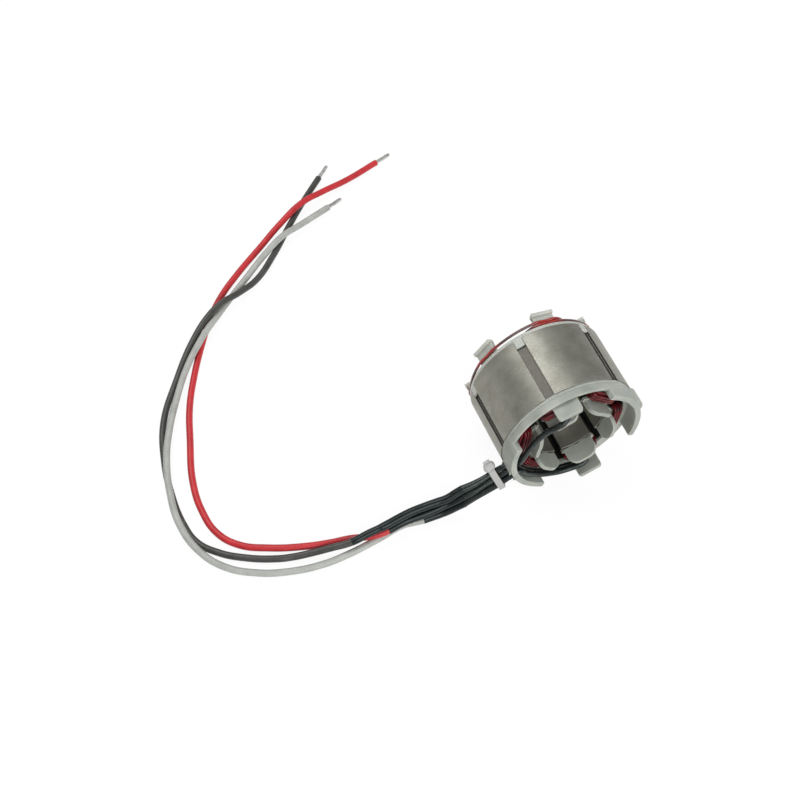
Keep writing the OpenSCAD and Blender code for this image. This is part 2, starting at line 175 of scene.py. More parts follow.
def map_range(tree, **ends):
    """Map Range node, with those of its ends that are fixed."""
    return set_inputs(tree.nodes.new("ShaderNodeMapRange"), **ends)


def noise(tree, **values):
    """Noise texture node."""
    return set_inputs(tree.nodes.new("ShaderNodeTexNoise"), **values)


def colour_mix(tree):
    """Mix node for colours."""
    node = tree.nodes.new("ShaderNodeMix")
    node.data_type = "RGBA"
    return node


def tell_group(group):
    """Print a group's sockets."""
    print("group", group.name, [socket.name for socket in group.interface.items_tree])


# %% Build the drift-and-grain group
drift_group, drift_in, drift_out = new_group(
    "drift_and_grain",
    [
        ("Light", "NodeSocketColor", (0.8, 0.8, 0.8, 1)),
        ("Dark", "NodeSocketColor", (0.6, 0.6, 0.6, 1)),
        ("Drift Scale", "NodeSocketFloat", 200.0),
        ("Grain Scale", "NodeSocketFloat", 4000.0),
        ("Smooth", "NodeSocketFloat", 0.35),
        ("Rough", "NodeSocketFloat", 0.5),
    ],
    [("Colour", "NodeSocketColor"), ("Roughness", "NodeSocketFloat"), ("Height", "NodeSocketFloat")],
)
place = drift_group.nodes.new("ShaderNodeTexCoord")
drift = noise(drift_group, Detail=3)
grain = noise(drift_group, Detail=2)
spread = map_range(drift_group, From_Min=0.32, From_Max=0.68)
tint = colour_mix(drift_group)
gloss = map_range(drift_group, From_Min=0.3, From_Max=0.7)
join(drift_group, [
    (place.outputs["Object"], drift.inputs["Vector"]),
    (place.outputs["Object"], grain.inputs["Vector"]),
    (drift_in.outputs["Drift Scale"], drift.inputs["Scale"]),
    (drift_in.outputs["Grain Scale"], grain.inputs["Scale"]),
    (drift.outputs["Fac"], spread.inputs["Value"]),
    (spread.outputs["Result"], tint.inputs["Factor"]),
    (drift_in.outputs["Dark"], tint.inputs["A"]),
    (drift_in.outputs["Light"], tint.inputs["B"]),
    (grain.outputs["Fac"], gloss.inputs["Value"]),
    (drift_in.outputs["Smooth"], gloss.inputs["To Min"]),
    (drift_in.outputs["Rough"], gloss.inputs["To Max"]),
    (tint.outputs["Result"], drift_out.inputs["Colour"]),
    (gloss.outputs["Result"], drift_out.inputs["Roughness"]),
    (grain.outputs["Fac"], drift_out.inputs["Height"]),
])
tell_group(drift_group)

# %% Build the rubbed-edge group
edge_group, edge_in, edge_out = new_group(
    "edge_wear_and_highlight",
    [("Width", "NodeSocketFloat", 0.0003), ("Patchiness", "NodeSocketFloat", 600.0)],
    [("Mask", "NodeSocketFloat"), ("Rounded Normal", "NodeSocketVector")],
)
rounded = edge_group.nodes.new("ShaderNodeBevel")
rounded.samples = 6
faced = edge_group.nodes.new("ShaderNodeNewGeometry")
agree = vector_node(edge_group, "DOT_PRODUCT")
turned = map_range(edge_group, From_Min=0.995, From_Max=0.9)
place = edge_group.nodes.new("ShaderNodeTexCoord")
patches = noise(edge_group, Detail=3)
patchy = math_node(edge_group, "MULTIPLY")
join(edge_group, [
    (edge_in.outputs["Width"], rounded.inputs["Radius"]),
    (rounded.outputs["Normal"], agree.inputs[0]),
    (faced.outputs["True Normal"], agree.inputs[1]),
    (agree.outputs["Value"], turned.inputs["Value"]),
    (place.outputs["Object"], patches.inputs["Vector"]),
    (edge_in.outputs["Patchiness"], patches.inputs["Scale"]),
    (turned.outputs["Result"], patchy.inputs[0]),
    (patches.outputs["Fac"], patchy.inputs[1]),
    (patchy.outputs["Value"], edge_out.inputs["Mask"]),
    (rounded.outputs["Normal"], edge_out.inputs["Rounded Normal"]),
])
tell_group(edge_group)

# %% [markdown]
# ## Zones of the stack
# Inside the slots everything is painted nearly black as painted shade, and the floors of the
# outer grooves are painted darker than the lands as painted shade. Both are rings round the
# axis. One more group gives a mask between two radii that fades out towards the ends of the stack,
# so that a finish can change by place without a second material or a painted map.

# %% Build the ring-zone group
zone_group, zone_in, zone_out = new_group(
    "ring_zone",
    [
        ("Inner", "NodeSocketFloat", 0.0), ("Outer", "NodeSocketFloat", 1.0),
        ("Half Length", "NodeSocketFloat", 0.0115), ("Fade", "NodeSocketFloat", 0.001),
    ],
    [("Mask", "NodeSocketFloat")],
)
place = zone_group.nodes.new("ShaderNodeTexCoord")
flat = vector_node(zone_group, "MULTIPLY")
flat.inputs[1].default_value = (1, 0, 1)
radius = vector_node(zone_group, "LENGTH")
apart = zone_group.nodes.new("ShaderNodeSeparateXYZ")
along_axis = math_node(zone_group, "ABSOLUTE")
fade_start = math_node(zone_group, "SUBTRACT")
fade = map_range(zone_group, To_Min=1, To_Max=0)
fade.interpolation_type = "SMOOTHSTEP"
above = math_node(zone_group, "GREATER_THAN")
below = math_node(zone_group, "LESS_THAN")
ring = math_node(zone_group, "MULTIPLY")
ring_faded = math_node(zone_group, "MULTIPLY")
join(zone_group, [
    (place.outputs["Object"], flat.inputs[0]),
    (flat.outputs["Vector"], radius.inputs[0]),
    (place.outputs["Object"], apart.inputs["Vector"]),
    (apart.outputs["Y"], along_axis.inputs[0]),
    (zone_in.outputs["Half Length"], fade_start.inputs[0]),
    (zone_in.outputs["Fade"], fade_start.inputs[1]),
    (along_axis.outputs["Value"], fade.inputs["Value"]),
    (fade_start.outputs["Value"], fade.inputs["From Min"]),
    (zone_in.outputs["Half Length"], fade.inputs["From Max"]),
    (radius.outputs["Value"], above.inputs[0]),
    (zone_in.outputs["Inner"], above.inputs[1]),
    (radius.outputs["Value"], below.inputs[0]),
    (zone_in.outputs["Outer"], below.inputs[1]),
    (above.outputs["Value"], ring.inputs[0]),
    (below.outputs["Value"], ring.inputs[1]),
    (ring.outputs["Value"], ring_faded.inputs[0]),
    (fade.outputs["Result"], ring_faded.inputs[1]),
    (ring_faded.outputs["Value"], zone_out.inputs["Mask"]),
])
tell_group(zone_group)

# %% Helpers that every finish uses


def colour(red, green, blue):
    """Linear colour from the 0 to 255 values that a picture shows."""
    def linear(v):
        v /= 255
        return v / 12.92 if v <= 0.04045 else ((v + 0.055) / 1.055) ** 2.4
    return (linear(red), linear(green), linear(blue), 1)


def new_finish(name):
    """Material with a plain Principled shader: returns it, its tree and the shader."""
    finish = bpy.data.materials.new(name)
    finish.use_nodes = True
    return finish, finish.node_tree, finish.node_tree.nodes["Principled BSDF"]


def place_group(tree, group, **values):
    """Put a node group in a tree and set its inputs."""
    node = tree.nodes.new("ShaderNodeGroup")
    node.node_tree = group
    return set_inputs(node, **values)


def ring_mask(tree, inner, outer, half_length, fade):
    """Mask socket of a ring zone, sizes in millimetres."""
    node = place_group(
        tree, zone_group, Inner=inner * MM, Outer=outer * MM, Half_Length=half_length * MM, Fade=fade * MM,
    )
    return node.outputs["Mask"]


def tint_by(tree, mask, under, over):
    """Mix node that goes from a colour socket to a fixed colour by a mask: returns its result."""
    node = colour_mix(tree)
    node.inputs["B"].default_value = over
    join(tree, [(mask, node.inputs["Factor"]), (under, node.inputs["A"])])
    return node.outputs["Result"]


def bump(tree, shader, height, strength, distance, normal=None):
    """Bump node between a height socket and the shader's normal."""
    node = set_inputs(tree.nodes.new("ShaderNodeBump"), Strength=strength, Distance=distance)
    tree.links.new(height, node.inputs["Height"])
    if normal is not None:
        tree.links.new(normal, node.inputs["Normal"])
    tree.links.new(node.outputs["Normal"], shader.inputs["Normal"])


# %% [markdown]
# ## Laminated steel
# The stack is punched sheets about half a millimetre thick. Along its outside and down its bore
# the edges of the sheets show as fine lines round the axis. Modelling fifty sheets would cost
# many faces for lines thinner than a pixel, so the lines are bands along the object's Y. They
# are masked to walls that run along the axis, and each sheet has its own shade of grey. Over them
# lie bright flecks in loose patches on the lands: scratches painted bright as glints.

# %% Lines of the steel sheets
SHEET_T = 0.5
steel, tree, shader = new_finish("laminated_steel")
set_inputs(shader, Metallic=0.85, IOR=2.2)
base = place_group(
    tree, drift_group, Light=colour(158, 157, 147), Dark=colour(138, 137, 126),
    Drift_Scale=190.0, Grain_Scale=2600.0, Smooth=0.4, Rough=0.54,
)
spot = tree.nodes.new("ShaderNodeTexCoord")
apart = tree.nodes.new("ShaderNodeSeparateXYZ")
sheets = math_node(tree, "MULTIPLY", 1 / (SHEET_T * MM))
sheet_index = math_node(tree, "FLOOR")
sheet_shade = tree.nodes.new("ShaderNodeTexWhiteNoise")
sheet_shade.noise_dimensions = "1D"
shade_grey = map_range(tree, To_Min=0.95, To_Max=1.0)
within = math_node(tree, "FRACT")
seam = math_node(tree, "PINGPONG", 0.5)
seam_line = map_range(tree, From_Min=0.0, From_Max=0.16)
seam_grey = map_range(tree, To_Min=0.9, To_Max=1.0)
both = math_node(tree, "MULTIPLY")
facing = tree.nodes.new("ShaderNodeNewGeometry")
facing_parts = tree.nodes.new("ShaderNodeSeparateXYZ")
axial = math_node(tree, "ABSOLUTE")
wall = math_node(tree, "LESS_THAN", 0.6)
shade_mix = colour_mix(tree)
shade_mix.blend_type = "MULTIPLY"
join(tree, [
    (spot.outputs["Object"], apart.inputs["Vector"]),
    (apart.outputs["Y"], sheets.inputs[0]),
    (sheets.outputs["Value"], sheet_index.inputs[0]),
    (sheet_index.outputs["Value"], sheet_shade.inputs["W"]),
    (sheet_shade.outputs["Value"], shade_grey.inputs["Value"]),
    (sheets.outputs["Value"], within.inputs[0]),
    (within.outputs["Value"], seam.inputs[0]),
    (seam.outputs["Value"], seam_line.inputs["Value"]),
    (seam_line.outputs["Result"], seam_grey.inputs["Value"]),
    (shade_grey.outputs["Result"], both.inputs[0]),
    (seam_grey.outputs["Result"], both.inputs[1]),
    (facing.outputs["True Normal"], facing_parts.inputs["Vector"]),
    (facing_parts.outputs["Y"], axial.inputs[0]),
    (axial.outputs["Value"], wall.inputs[0]),
    (wall.outputs["Value"], shade_mix.inputs["Factor"]),
    (base.outputs["Colour"], shade_mix.inputs["A"]),
    (both.outputs["Value"], shade_mix.inputs["B"]),
    (base.outputs["Roughness"], shader.inputs["Roughness"]),
])
print("finish", steel.name, len(tree.nodes), "nodes for its sheets")

# %% Painted glints, painted shade and wear of the steel
GROOVE_IN, GROOVE_OUT = 21.4, 22.7
SLOT_IN, SLOT_OUT, SLOT_HALF = 13.2, 20.2, 11.45
# Painted glints: bright flecks in loose patches, scratches painted bright as glints on the lands.
flecks = noise(tree, Scale=1900.0, Detail=4)
fleck_mask = map_range(tree, From_Min=0.54, From_Max=0.72, To_Max=0.5)
patches = noise(tree, Scale=230.0, Detail=2)
patch_mask = map_range(tree, From_Min=0.4, From_Max=0.66)
patchy = math_node(tree, "MULTIPLY")
# Painted shade: the floors of the outer grooves are painted darker than the lands.
groove = ring_mask(tree, GROOVE_IN, GROOVE_OUT, half_length=14, fade=1)
# Painted shade: steel inside the slots is painted nearly black.
steel_slot_shade = ring_mask(tree, SLOT_IN, SLOT_OUT, SLOT_HALF, fade=0.2)
edges = place_group(tree, edge_group, Width=0.25 * MM, Patchiness=900.0)
join(tree, [
    (spot.outputs["Object"], flecks.inputs["Vector"]),
    (flecks.outputs["Fac"], fleck_mask.inputs["Value"]),
    (spot.outputs["Object"], patches.inputs["Vector"]),
    (patches.outputs["Fac"], patch_mask.inputs["Value"]),
    (fleck_mask.outputs["Result"], patchy.inputs[0]),
    (patch_mask.outputs["Result"], patchy.inputs[1]),
])
# Painted glints: the flecks tint the steel towards a bright colour.
scratch_glints = tint_by(tree, patchy.outputs["Value"], shade_mix.outputs["Result"], colour(190, 187, 176))
# Painted shade: groove floors painted darker than the lands.
groove_painted_shade = tint_by(tree, groove, scratch_glints, colour(92, 90, 83))
# Painted shade: slot interiors tinted nearly black.
slot_painted_shade = tint_by(tree, steel_slot_shade, groove_painted_shade, colour(20, 20, 18))
rubbed = tint_by(tree, edges.outputs["Mask"], slot_painted_shade, colour(196, 194, 186))
tree.links.new(rubbed, shader.inputs["Base Color"])
bump(tree, shader, seam_line.outputs["Result"], 0.08, 0.03 * MM, edges.outputs["Rounded Normal"])
print("finish", steel.name, len(tree.nodes), "nodes in all")

# %% [markdown]
# ## Moulded nylon
# The insulators are pale nylon, a little translucent, and a mould leaves a fine satin grain on
# them. Shallow subsurface scattering takes the hardness off their edges. In the photograph light
# comes through the thin posts and rim at the rear, so that moulding gets a paler colour.

# %% Make the nylon finishes
LINING_OUT = 20.3


def nylon_finish(name, light, dark, edge_highlight, glow):
    """Satin nylon that drifts between two colours, with rounded edges painted paler as a highlight and
    painted shade inside the slots.
    """
    finish, tree, shader = new_finish(name)
    base = place_group(
        tree, drift_group, Light=light, Dark=dark,
        Drift_Scale=130.0, Grain_Scale=5200.0, Smooth=0.4, Rough=0.58,
    )
    edges = place_group(tree, edge_group, Width=0.3 * MM, Patchiness=700.0)
    # Painted shade: the nylon inside the slots is painted nearly black.
    lining_shade_mask = ring_mask(tree, SLOT_IN, LINING_OUT, SLOT_HALF, fade=0.3)
    # Painted highlight: the edges are painted paler.
    pale = tint_by(tree, edges.outputs["Mask"], base.outputs["Colour"], edge_highlight)
    lining_shaded = tint_by(tree, lining_shade_mask, pale, colour(22, 22, 20))
    join(tree, [
        (lining_shaded, shader.inputs["Base Color"]),
        (base.outputs["Roughness"], shader.inputs["Roughness"]),
    ])
    set_inputs(
        shader, IOR=1.53, Subsurface_Weight=glow,
        Subsurface_Radius=(1.0, 0.9, 0.7), Subsurface_Scale=0.9 * MM,
    )
    bump(tree, shader, base.outputs["Height"], 0.04, 0.03 * MM, edges.outputs["Rounded Normal"])
    return finish


front_nylon = nylon_finish(
    "front_nylon", light=colour(180, 184, 176), dark=colour(154, 159, 150),
    edge_highlight=colour(198, 202, 194), glow=0.85,
)
# Painted light: the rear moulding gets a paler colour for the light that comes through its thin posts and
# rim.
rear_nylon = nylon_finish(
    "rear_nylon", light=colour(206, 209, 201), dark=colour(186, 189, 181),
    edge_highlight=colour(214, 217, 209), glow=0.85,
)
tie_nylon = nylon_finish(
    "tie_nylon", light=colour(190, 190, 189), dark=colour(176, 176, 174),
    edge_highlight=colour(198, 202, 194), glow=0.3,
)
print("finishes", front_nylon.name, rear_nylon.name, tie_nylon.name)

# %% [markdown]
# ## Enamelled wire
# The winding wire is copper under a clear red enamel: painted nearly black in the slots as painted
# shade, and bright red where the light slides along a strand, so it gets a clear coat. The
# links behind the stack are browner wire, and redder where they bend round the posts. A wave
# round the axis with one crest at each post says where that is.

# %% Make the coil enamel


def soft_finish(name, light, dark, smooth, rough, drift_scale=220.0, grain_scale=3600.0, rise=0.1):
    """Plain skin of drifting colour with a fine grain: returns the material and its shader."""
    finish, tree, shader = new_finish(name)
    base = place_group(
        tree, drift_group, Light=light, Dark=dark,
        Drift_Scale=drift_scale, Grain_Scale=grain_scale, Smooth=smooth, Rough=rough,
    )
    join(tree, [
        (base.outputs["Colour"], shader.inputs["Base Color"]),
        (base.outputs["Roughness"], shader.inputs["Roughness"]),
    ])
    bump(tree, shader, base.outputs["Height"], rise, 0.04 * MM)
    return finish, shader


def stain(tree, shader, mask, over):
    """Tint whatever feeds the shader's colour by a mask."""
    bare = shader.inputs["Base Color"].links[0].from_socket
    tree.links.new(tint_by(tree, mask, bare, over), shader.inputs["Base Color"])


enamel, shader = soft_finish(
    "red_enamel", colour(122, 16, 26), colour(50, 6, 10), smooth=0.3, rough=0.44,
    drift_scale=500.0, grain_scale=3000.0,
)
# Painted shade: the coils are painted nearly black inside the slots.
coil_slot_shade = ring_mask(enamel.node_tree, inner=10, outer=21, half_length=12.2, fade=1.6)
stain(enamel.node_tree, shader, coil_slot_shade, colour(24, 14, 13))
set_inputs(shader, Specular_IOR_Level=0.3, Coat_Weight=0.25, Coat_Roughness=0.2)
print("finish", enamel.name, len(enamel.node_tree.nodes), "nodes")

# %% Make the link enamel
link_enamel, shader = soft_finish(
    "link_enamel", colour(96, 52, 52), colour(70, 44, 46), smooth=0.28, rough=0.42,
    drift_scale=300.0, grain_scale=3000.0,
)
tree = link_enamel.node_tree
spot = tree.nodes.new("ShaderNodeTexCoord")
apart = tree.nodes.new("ShaderNodeSeparateXYZ")
bearing = math_node(tree, "ARCTAN2")
from_post = math_node(tree, "SUBTRACT", math.radians(FIRST_TOOTH + PITCH / 2))
six_fold = math_node(tree, "MULTIPLY", TEETH)
wave = math_node(tree, "COSINE")
post_mask = map_range(tree, From_Min=-0.3, From_Max=0.8)
join(tree, [
    (spot.outputs["Object"], apart.inputs["Vector"]),
    (apart.outputs["X"], bearing.inputs[0]),
    (apart.outputs["Z"], bearing.inputs[1]),
    (bearing.outputs["Value"], from_post.inputs[0]),
    (from_post.outputs["Value"], six_fold.inputs[0]),
    (six_fold.outputs["Value"], wave.inputs[0]),
    (wave.outputs["Value"], post_mask.inputs["Value"]),
])
stain(tree, shader, post_mask.outputs["Result"], colour(164, 42, 36))
set_inputs(shader, Coat_Weight=0.6, Coat_Roughness=0.15)
print("finish", link_enamel.name, len(tree.nodes), "nodes")

# %% [markdown]
# ## Sleeving, insulation and tin
# The sleeves and splice tubes are dark plastic with a soft shine. What they reflect is a little
# cool in the photograph, so their reflection is tinted. The leads are soft, slightly waxy
# insulation, and the white one lets a little light in. Solder is bare metal.

# %% Make the tube finishes
sleeving, shader = soft_finish(
    "black_sleeving", colour(36, 43, 41), colour(8, 11, 10), smooth=0.18, rough=0.36,
    drift_scale=800.0, grain_scale=3000.0, rise=0.4,
)
set_inputs(shader, Specular_IOR_Level=0.48, Specular_Tint=(0.88, 1, 0.98, 1))
shrink_tube, shader = soft_finish(
    "shrunk_tube", colour(22, 28, 29), colour(6, 9, 9), smooth=0.18, rough=0.34,
    drift_scale=320.0, grain_scale=1800.0, rise=0.4,
)
set_inputs(shader, Specular_IOR_Level=0.34, Specular_Tint=(0.88, 1, 0.99, 1))
print("finishes", sleeving.name, shrink_tube.name)

# %% Make the insulation and the tin
red_skin, _ = soft_finish(
    "red_insulation", colour(206, 46, 52), colour(186, 36, 43), smooth=0.36, rough=0.5,
)
black_skin, _ = soft_finish(
    "black_insulation", colour(74, 74, 71), colour(58, 58, 55), smooth=0.32, rough=0.46,
)
white_skin, shader = soft_finish(
    "white_insulation", colour(184, 186, 181), colour(168, 170, 165), smooth=0.36, rough=0.5, rise=0.04,
)
set_inputs(shader, Subsurface_Weight=0.2, Subsurface_Radius=(1.0, 1.0, 1.0), Subsurface_Scale=0.5 * MM)
tin, shader = soft_finish(
    "tinned_strands", colour(236, 236, 233), colour(196, 195, 191), smooth=0.16, rough=0.32,
    drift_scale=900.0, grain_scale=6000.0,
)
set_inputs(shader, Metallic=1.0)
print("finishes", len(bpy.data.materials))

# %% Dress the solids that stay
for node, finish in [
    ("stator_core", steel), ("front_insulator", front_nylon), ("rear_insulator", rear_nylon),
]:
    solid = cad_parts[node]
    solid.data.materials.clear()
    solid.data.materials.append(finish)
    print("dressed", node, "faces", len(solid.data.polygons))

# %% [markdown]
# ## Wires as curves
# A wire is a line with a thickness, which is just what a Blender curve with a bevel is. Bezier
# points with automatic handles pass through every chosen point and bend smoothly between them,
# so a route of some thirty points is enough for a whole lead.

# %% Curve helpers


def wire_curve(name, lines, thickness, finish, closed=False, steps=6, sides=3, widths=None):
    """Curve object of one round wire per list of points; widths scale the thickness point by point."""
    data = bpy.data.curves.new(name, "CURVE")
    data.dimensions = "3D"
    data.resolution_u = steps
    data.bevel_depth = thickness / 2
    data.bevel_resolution = sides
    data.use_fill_caps = True
    for line in lines:
        spline = data.splines.new("BEZIER")
        spline.bezier_points.add(len(line) - 1)
        spline.use_cyclic_u = closed
        for i, (point, where) in enumerate(zip(spline.bezier_points, line)):
            point.co = where
            point.handle_left_type = "AUTO"
            point.handle_right_type = "AUTO"
            point.radius = 1 if widths is None else widths[i]
    data.materials.append(finish)
    return add_object(name, data)


def seat(piece, slot, *nodes):
    """Put a finished piece on the stator in place of its solids."""
    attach(piece, "root")
    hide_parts(*nodes)
    return piece


# %% [markdown]
# ## The three leads
# Each lead leaves its splice tube, lies on the table in a wide bend and ends in a tinned tip.
# The points are the ones that the solids follow, as x, y and height above the table. Where one
# lead crosses another it rises in a long low hump. A limp wire has no kinks, so the points of the
# far part are evened out a little, in plan, before the lead is drawn through them.

# %% Lead and splice routes
LEAD_D = 2.3
SPLICE_D = 2.8
LEAD_LIE = LEAD_D / 2 + TOUCH
SPLICE_LIE = SPLICE_D / 2 + TOUCH

splice_routes = {
    "red": [
        (-36.2, -14.1, 7.9), (-38.6, -13.9, 6.8), (-42.1, -13.5, 5.4), (-46, -13.5, 4.7),
        (-50.3, -13.5, 4.4), (-56.3, -13.3, 3.9), (-62.3, -14.3, 3.9),
    ],
    "black": [
        (-36.2, -13.1, 10.7), (-38.3, -13.1, 9.8), (-41.8, -13.2, 8.4), (-45, -12.8, 7.7),
        (-49, -12.5, 7.2), (-54.1, -12.5, 6.9), (-58.9, -13.1, 6.8), (-63.5, -13.8, 6.7),
        (-65.2, -13.8, 6.4), (-69, -13.8, 5.7), (-72.9, -14, 4.9), (-74.4, -13.9, 4.5),
    ],
    "white": [
        (-36.2, -15, 5.1), (-38.5, -14.6, 3.9), (-41.5, -14.3, 2.6), (-45, -13.9, 1.7),
        (-50, -13.8, SPLICE_LIE),
    ],
}
lead_routes = {
    "red": [
        (-62.7, -14.3, 2.7), (-65.6, -14.2, 2.4), (-69.1, -13.2, 1.7), (-74, -11, 0.2), (-80, -9.9, 0),
        (-88, -8, 0), (-99, -4, 0), (-107, 0.5, 0), (-112, 7, 0), (-114, 16.5, 0), (-113.4, 28, 0),
        (-109.2, 44, 0), (-105.3, 56.5, 0), (-100.5, 68, 0), (-93.6, 79.5, 0), (-87, 90, 0), (-81, 97.6, 0),
        (-72, 105, 0), (-60, 113.5, 0.3), (-50, 120.2, 1.4), (-39.5, 126.6, 2.5), (-30, 129.2, 1.4),
        (-18.7, 132, 0.2), (-5, 136.5, 0),
    ],
    "black": [
        (-74.6, -13.9, 3.2), (-76.5, -13.6, 2.7), (-80, -12.8, 2), (-86.8, -11.3, 0.6), (-93, -10, 0),
        (-98, -8.6, 0), (-107, -4.4, 0), (-114, 0.5, 0), (-119, 6.5, 0), (-121, 14.5, 0), (-121.2, 26, 0),
        (-119.4, 40, 0), (-115.2, 54, 0), (-107, 68.5, 0.2), (-96, 82, 1.8), (-87.5, 89.5, 3),
        (-81.5, 92.2, 3.2), (-74, 95.4, 1.7), (-65.5, 98.8, 0.2), (-57, 108, 0), (-46, 120, 0),
        (-38, 128.5, 0), (-28, 137.5, 0),
    ],
    "white": [
        (-50.2, -13.8, 0.2), (-53, -13.3, 0), (-56.2, -12.9, 0), (-60.1, -13.3, 0), (-64.3, -14.2, 0),
        (-68.8, -14.9, 0), (-75.9, -15.8, 0), (-85, -16.1, 0), (-96, -14.3, 0), (-105, -11, 0),
        (-114, -5, 0.3), (-119.6, 2.8, 1.5), (-122.2, 12.5, 2.4), (-121.6, 25.5, 2.4), (-118.6, 38.7, 2.5),
        (-115, 48, 1.9), (-108.6, 61, 1.2), (-102, 71.5, 1.8), (-93.6, 79.7, 2.5), (-89.5, 84, 2.3),
        (-85.5, 88, 1.2), (-77.5, 96.3, 0), (-69, 101.8, 0.2), (-60, 109, 1.4), (-51.5, 113.8, 2.5),
        (-43, 116.8, 1.4), (-30, 122.3, 0),
    ],
}


def on_table(point, lie=0.0):
    """Route point in metres, from x, y and the height above the table."""
    return Vector((point[0] * MM, point[1] * MM, TABLE_Z + (lie + point[2]) * MM))


def length_of(line):
    """Length of a line through points."""
    return sum((b - a).length for a, b in zip(line, line[1:]))


print("route points", {name: len(route) for name, route in lead_routes.items()})

# %% Draw the splice tubes
SHRUNK_D = 2.5
SHRUNK_FROM = 8
MOUTH = 0.92


def splice_widths(name):
    """Thickness of a splice tube point by point: the black one's end has shrunk on to its lead."""
    count = len(splice_routes[name])
    if name == "black":
        return [1] * SHRUNK_FROM + [SHRUNK_D / SPLICE_D] * (count - SHRUNK_FROM)
    return [1] * (count - 1) + [MOUTH]


for name, route in splice_routes.items():
    line = [on_table(p) for p in route]
    tube = wire_curve(
        "splice_tube_" + name, [line], SPLICE_D * MM, shrink_tube,
        steps=10, sides=4, widths=splice_widths(name),
    )
    seat(tube, "sleeving", "splice_" + name)
    print("splice", name, round(length_of(line) * 1000, 1), "mm")

# %% [markdown]
# ## Tinned tips
# The end of each lead is stripped, twisted and dipped in solder. Strands that wind round each
# other are drawn as separate helices; the solder fills between them, so a thin core closes the
# middle.

# %% Draw the tips
TIP_L = 6.5 * MM
TIP_D = 1.5 * MM
STRANDS = 5
STRAND_R = TIP_D * 0.25
TWIST = 0.22
TIP_STEPS = 8
GATHER = 0.25
GATHER_FROM = 0.7
UNEVEN = 0.02
CORE_REACH = 0.96


def tip_lines(start, along):
    """Centre lines of the twisted strands of one tip, and of its core."""
    along = along.normalized()
    across = along.cross(Vector((0, 0, 1))).normalized()
    upward = across.cross(along)
    ring = TIP_D / 2 - STRAND_R
    lines = []
    for k in range(STRANDS):
        line = []
        for i in range(TIP_STEPS + 1):
            share = i / TIP_STEPS
            angle = 2 * math.pi * (k / STRANDS + TWIST * share)
            gather = ring * (1 - GATHER * max(0.0, share - GATHER_FROM) / (1 - GATHER_FROM))
            reach = TIP_L * share * (1 - UNEVEN * (k % 3))
            aside = across * math.cos(angle) + upward * math.sin(angle)
            line.append(start + along * reach + aside * gather)
        lines.append(line)
    lines.append([start + along * TIP_L * reach for reach in (0, 0.5, CORE_REACH)])
    return lines


for name, route in lead_routes.items():
    end = on_table(route[-1], LEAD_LIE)
    lines = tip_lines(end, end - on_table(route[-2], LEAD_LIE))
    tip = wire_curve("tinned_tip_" + name, lines, 2 * STRAND_R, tin, steps=3, sides=2)
    seat(tip, "tinned_copper", "tip_" + name)
    print("tip", name, [round(x, 4) for x in end])

# %% Draw the leads
FAR_Y = 60
EASE = 0.5
WINDOW = {"red": (-22.4, -14.6, -8.7), "black": (-22.9, -13.2, -7.4), "white": (-21.9, -16, -10)}
lead_finishes = {"red": red_skin, "black": black_skin, "white": white_skin}


def eased(route):
    """Route whose far points are drawn part of the way to the chord of their neighbours, in plan."""
    points = [Vector(p) for p in route]
    line = list(points)
    for i in range(1, len(points) - 1):
        before, point, after = points[i - 1:i + 2]
        if point.y > FAR_Y:
            near, far = (point - before).length, (after - point).length
            line[i] = point.lerp(before.lerp(after, near / (near + far)), EASE)
            line[i].z = point.z
    return line


for name, route in lead_routes.items():
    inside = [on_table(p) for p in splice_routes[name][1:-1]]
    line = inside + [on_table(p, LEAD_LIE) for p in eased(route)]
    lead = wire_curve("lead_wire_" + name, [line], LEAD_D * MM, lead_finishes[name], steps=12, sides=5)
    seat(lead, name + "_insulation", "lead_" + name)
    print("lead", name, round(length_of(line) * 1000, 1), "mm with the part inside its splice tube")

# %% [markdown]
# ## Coils
# Every tooth carries one coil. A turn is a rounded rectangle round the tooth, and the turns lie
# in layers that fill the slot. Separate closed curves show each turn, with small offsets from a
# seeded random source, because hand-laid wire never lies quite straight.

# %% Draw the coils
COIL_IN = 4.2
COIL_BOTTOM = 14.7
COIL_BASE = 0.9
COIL_CORNER = 0.3
LAYER_WIRES = [2, 2, 2, 1]
CORNERS = [(1, 1), (-1, 1), (-1, -1), (1, -1)]
CORNER_STEPS = 4
SLACK = 0.05
ENAMEL_GAP = 0.985


def turn_line(angle, layer, wire, shake):
    """Closed line of one turn, seen along the tooth: straight sides and round corners."""
    out = (wire + 0.5) * WIRE_D
    half_wide = COIL_IN + out + shake.uniform(-SLACK, 0.02)
    half_long = HALF_STACK + COIL_BASE + out + shake.uniform(-SLACK, SLACK)
    corner = COIL_CORNER + out
    radius = COIL_BOTTOM + (layer + 0.5) * WIRE_D
    tilt = shake.uniform(-SLACK, SLACK)
    line = []
    for quarter, (side_u, side_v) in enumerate(CORNERS):
        for step in range(CORNER_STEPS):
            turn = math.radians(90 * (quarter + step / (CORNER_STEPS - 1)))
            u = side_u * (half_wide - corner) + corner * math.cos(turn)
            v = side_v * (half_long - corner) + corner * math.sin(turn)
            lift = radius + tilt * v / half_long
            line.append((outward(angle) * lift + around(angle) * u + Vector((0, v, 0))) * MM)
    return line


shake = random.Random(7)
for tooth in range(TEETH):
    angle = FIRST_TOOTH + PITCH * tooth
    lines = [turn_line(angle, k, n, shake) for k, count in enumerate(LAYER_WIRES) for n in range(count)]
    coil = wire_curve(
        f"coil_turns_{tooth + 1}", lines, WIRE_D * MM * ENAMEL_GAP, enamel, closed=True, steps=3, sides=2,
    )
    seat(coil, "enamel_wire", f"coil_{tooth + 1}")
print("coils", TEETH, "turns each", sum(LAYER_WIRES))

# %% [markdown]
# ## Rear links
# Behind the stack a wire joins each coil to the one opposite. It hooks round three posts on the
# way, so it is pulled straight between them, and it sinks a little from post to post, because the
# wire that leaves at a post lies on the one that arrives there.

